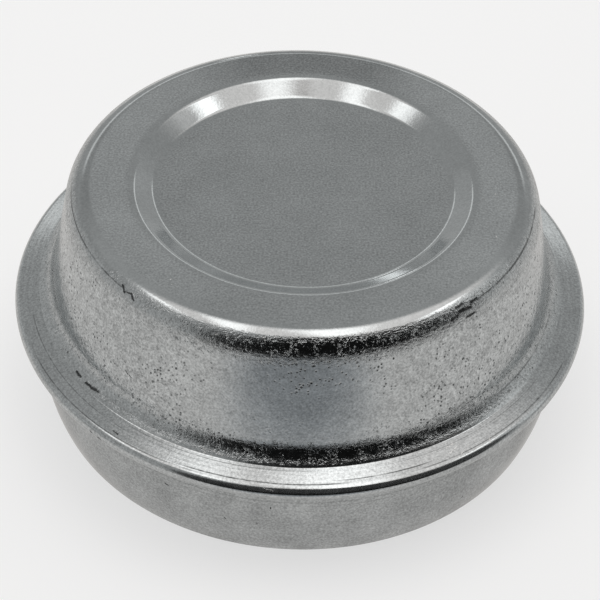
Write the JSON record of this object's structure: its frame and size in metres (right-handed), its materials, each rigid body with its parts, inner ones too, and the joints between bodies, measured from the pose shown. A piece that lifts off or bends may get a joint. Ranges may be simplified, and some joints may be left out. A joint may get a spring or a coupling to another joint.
{
  "type": "hub grease cap",
  "caption": "Round pressed sheet-steel grease cap for a wheel hub, with a recessed crown, a folded flange and a press-in skirt, open underneath.",
  "frame": {"origin": "centre of the open rim, in the plane of the rim's edge", "axes": "+Z along the cap's axis from the open rim to the closed crown; X and Y are free, since the cap is round"},
  "size_m": [0.067, 0.067, 0.0285],
  "materials": {
    "plated_steel": "bright zinc-plated pressed steel with fine pits, drawing marks round the flange and small nicks on the crown and flange edges"
  },
  "bodies": {
    "root": {"cap": "plated_steel"}
  },
  "joints": []
}
